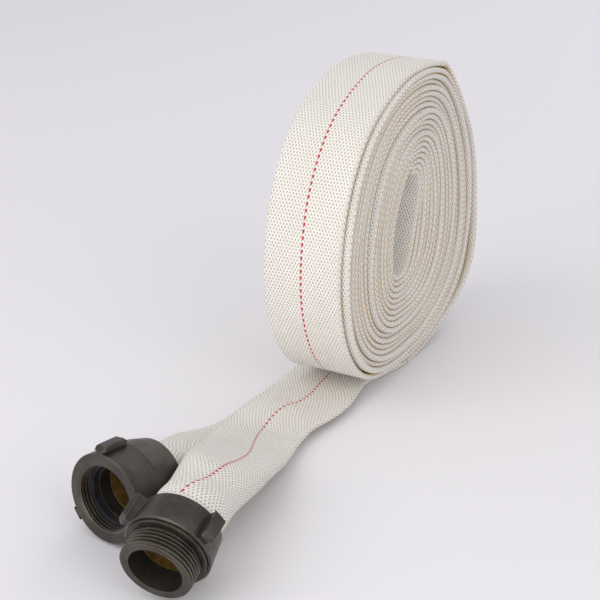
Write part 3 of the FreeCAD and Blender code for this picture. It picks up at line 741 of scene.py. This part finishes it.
def skin_quads(base, count, rows, along, around):
    """Quads between the rings of a stack that starts at vertex base, and their coordinates."""
    quads, coords = [], []
    for k in range(count - 1):
        for m in range(RING):
            step = (m + 1) % RING
            low, high = base + k * RING, base + (k + 1) * RING
            quads.append((low + m, low + step, high + step, high + m))
            i, j = rows[k], rows[k + 1]
            wrap = PERIMETER if m == RING // 2 else 0.0
            coords.append((
                (along[i], around[i, m] - wrap), (along[i], around[i, m + 1]),
                (along[j], around[j, m + 1]), (along[j], around[j, m] - wrap),
            ))
    return quads, coords


LINED_LENGTH = 75      # how far in from an open end the lining is made
LINED_THICKNESS = 5.0  # and only where the hose is open further than this
CAP_PLACE = (0.0, 40.0)   # weave coordinates of the cut faces


def hose_piece(name, rows, route, rings_made, materials, lined=None):
    """One length of hose as a closed mesh. A lined end is open and shows the rubber lining."""
    points, around, crease_shade, contact = rings_made
    along = route["along"]
    stack = [points[i] for i in rows]
    valley_shade = [crease_shade[i] for i in rows]
    cover = [contact[i] for i in rows]
    faces, coords = skin_quads(0, len(rows), rows, along, around)
    slots = [0] * len(faces)
    first = list(range(RING))
    last = list(range((len(rows) - 1) * RING, len(rows) * RING))
    caps = []
    if lined:
        end = rows[-1] if lined == "last" else rows[0]
        inner = [i for i in rows if abs(along[i] - along[end]) < LINED_LENGTH
                 and route["thick"][i] > LINED_THICKNESS]
        base = len(rows) * RING
        stack += [lining_ring(route, i) for i in inner]
        valley_shade += [np.zeros(RING)] * len(inner)
        cover += [np.zeros(RING)] * len(inner)
        quads, places = skin_quads(base, len(inner), inner, along, around)
        faces += [quad[::-1] for quad in quads]
        coords += [place[::-1] for place in places]
        slots += [1] * len(quads)
        inner_first = list(range(base, base + RING))
        inner_last = list(range(base + (len(inner) - 1) * RING, base + len(inner) * RING))
        pairs = [(m, (m + 1) % RING) for m in range(RING)]
        if lined == "last":
            caps = [first[::-1], inner_first]
            rim = [(last[m], last[k], inner_last[k], inner_last[m]) for m, k in pairs]
        else:
            caps = [last, inner_last[::-1]]
            rim = [(first[k], first[m], inner_first[m], inner_first[k]) for m, k in pairs]
        caps += rim
    else:
        caps = [first[::-1], last]
    smooth_count = len(faces)
    faces += [tuple(cap) for cap in caps]
    coords += [(CAP_PLACE,) * len(cap) for cap in caps]
    slots += [1] * len(caps)

    mesh = bpy.data.meshes.new(name)
    mesh.from_pydata((np.concatenate(stack) * MM).tolist(), [], faces)
    layer = mesh.uv_layers.new(name="weave")
    flat_coords = [value for face in coords for corner in face for value in corner]
    layer.data.foreach_set("uv", np.array(flat_coords))
    # the painted valley shade goes to the shader with the contact line and the wound flag
    carried = {
        "crease_shade": np.concatenate(valley_shade), "contact": np.concatenate(cover),
        "wound": np.full(len(cover) * RING, 0.0 if lined else 1.0),
    }
    for label, values in carried.items():
        mesh.attributes.new(label, "FLOAT", "POINT").data.foreach_set("value", values)
    mesh.polygons.foreach_set("material_index", slots)
    mesh.polygons.foreach_set("use_smooth", [k < smooth_count for k in range(len(faces))])
    for material in materials:
        mesh.materials.append(material)
    mesh.update()
    piece = bpy.data.objects.new(name, mesh)
    bpy.context.scene.collection.objects.link(piece)
    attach(piece, "hose")
    return piece


def row_at(route, start, end, turn):
    """The row of a wound stretch that lies nearest to a turn."""
    return start + int(np.argmin(np.abs(route["turn"][start:end] - turn)))


PIECE_TURNS = (0, 1, 2.5, 4.5, 7)   # turns at which each half is parted into pieces


def make_hose():
    """The whole hose, in eleven pieces that follow each other."""
    route, starts = whole_route()
    made = rings(route, starts)
    materials = [jacket_material(), lining_material()]
    lower = [row_at(route, starts[1], starts[2], turn) for turn in PIECE_TURNS]
    upper = [row_at(route, starts[3], starts[4], turn) for turn in reversed(PIECE_TURNS)]
    cuts = [0] + lower + upper + [len(route["turn"]) - 1]
    plan = [
        ("hose_lower_run", ("hose_tail_female", "hose_end_female"), "first", ("floor",)),
        ("hose_lower_turn_1", ("hose_roll",), None, ("hose_upper_turn_1",)),
        ("hose_lower_turns_2", ("hose_roll",), None, ("hose_upper_turns_2",)),
        ("hose_lower_turns_3", ("hose_roll",), None, ("hose_upper_turns_3",)),
        ("hose_lower_turns_4", ("hose_roll",), None, ("hose_upper_turns_4",)),
        ("hose_middle_turns", ("hose_centre_fold",), None, ("hose_lower_turns_4",)),
        ("hose_upper_turns_4", ("hose_roll",), None, ("hose_lower_turns_4",)),
        ("hose_upper_turns_3", ("hose_roll",), None, ("hose_lower_turns_3",)),
        ("hose_upper_turns_2", ("hose_roll",), None, ("hose_lower_turns_2",)),
        ("hose_upper_turn_1", ("hose_roll",), None, ("hose_lower_run",)),
        ("hose_upper_run", ("hose_tail_male", "hose_end_male"), "last", ("hose_lower_run",)),
    ]
    for (name, nodes, lined, under), first, last in zip(plan, cuts[:-1], cuts[1:]):
        piece = hose_piece(name, list(range(first, last + 1)), route, made, materials, lined)
        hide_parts(*nodes)
    print(f"hose: {route['along'][-1]:.0f} mm in all")


# ---------------------------------------------------------------- couplings and small parts

def edge_highlight_and_wear_mask(n, radius, low, high):
    """1 along sharp edges, 0 elsewhere."""
    rounded = n.add("ShaderNodeBevel", samples=6)
    rounded.inputs["Radius"].default_value = radius
    flat = n.add("ShaderNodeNewGeometry")
    product = n.add("ShaderNodeVectorMath", operation="DOT_PRODUCT")
    n.feed(product.inputs[0], rounded.outputs["Normal"])
    n.feed(product.inputs[1], flat.outputs["Normal"])
    return n.ramp(product.outputs["Value"], low, high, 1.0, 0.0)


def anodised_material():
    """Dark hard-anodised aluminium, lightened to a warm grey along its edges: part wear, part
    painted highlight.
    """
    n = Nodes("hard_anodised_aluminium")
    cloud = n.noise(55, 4, 0.6)
    grain = n.noise(2600, 3, 0.6)
    base = n.mix(n.ramp(cloud, 0.35, 0.7), (0.050, 0.044, 0.038), (0.084, 0.074, 0.062))
    # a painted highlight along the sharp edges, patchy like wear
    patchy = n.ramp(n.noise(160, 3, 0.6), 0.25, 0.75, 0.25, 0.9)
    edge_highlight_and_wear = n.math("MULTIPLY", edge_highlight_and_wear_mask(n, 0.0007, 0.72, 0.97), patchy)
    base = n.mix(edge_highlight_and_wear, base, (0.46, 0.36, 0.24))
    n.feed(n.shader.inputs["Base Color"], base)
    n.feed(n.shader.inputs["Metallic"], 0.65)
    n.feed(n.shader.inputs["Roughness"], n.ramp(cloud, 0.3, 0.75, 0.33, 0.43))
    n.feed(n.shader.inputs["Normal"], n.bump(grain, 0.00004, 0.35))
    return n.material


def plain_material(name, dark, light, metallic, rough, scale, grain_depth):
    """A finish that clouds between two tones, with a fine grain (grain_depth in metres)."""
    n = Nodes(name)
    cloud = n.noise(scale, 4, 0.6)
    n.feed(n.shader.inputs["Base Color"], n.mix(n.ramp(cloud, 0.3, 0.7), dark, light))
    n.feed(n.shader.inputs["Metallic"], metallic)
    n.feed(n.shader.inputs["Roughness"], n.ramp(cloud, 0.3, 0.7, *rough))
    n.feed(n.shader.inputs["Normal"], n.bump(n.noise(scale * 9, 3), grain_depth, 0.5))
    return n.material


def paint_parts():
    """Materials of the parts that come from the CAD model."""
    anodised = anodised_material()
    gasket = plain_material(
        "black_rubber", (0.012, 0.013, 0.016), (0.028, 0.030, 0.036),
        metallic=0.0, rough=(0.38, 0.55), scale=150, grain_depth=0.00005)
    brass = plain_material(
        "brass", (0.52, 0.32, 0.085), (0.74, 0.50, 0.17),
        metallic=0.9, rough=(0.38, 0.55), scale=110, grain_depth=0.00005)
    steel = plain_material(
        "steel", (0.42, 0.41, 0.40), (0.60, 0.60, 0.60),
        metallic=1.0, rough=(0.2, 0.34), scale=200, grain_depth=0.00003)
    lining = plain_material(
        "lining_edge", (0.015, 0.015, 0.015), (0.035, 0.034, 0.032),
        metallic=0.0, rough=(0.55, 0.7), scale=180, grain_depth=0.0001)
    jacket = plain_material(
        "jacket_edge", (0.55, 0.50, 0.40), (0.78, 0.73, 0.62),
        metallic=0.0, rough=(0.8, 0.9), scale=400, grain_depth=0.0002)
    plan = {
        "swivel_ring": anodised, "female_shank": anodised, "male_shank": anodised,
        "face_gasket": gasket, "tail_gasket_female": gasket, "tail_gasket_male": gasket,
        "expansion_ring_female": brass, "expansion_ring_male": brass,
        "swivel_balls": steel, "ball_plug": steel,
        "liner_end_female": lining, "liner_end_male": lining,
        "jacket_end_female": jacket, "jacket_end_male": jacket,
    }
    for name, material in plan.items():
        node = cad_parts[name]
        node.data.materials.clear()
        node.data.materials.append(material)


make_camera()
make_lights()
make_floor()
make_hose()
paint_parts()
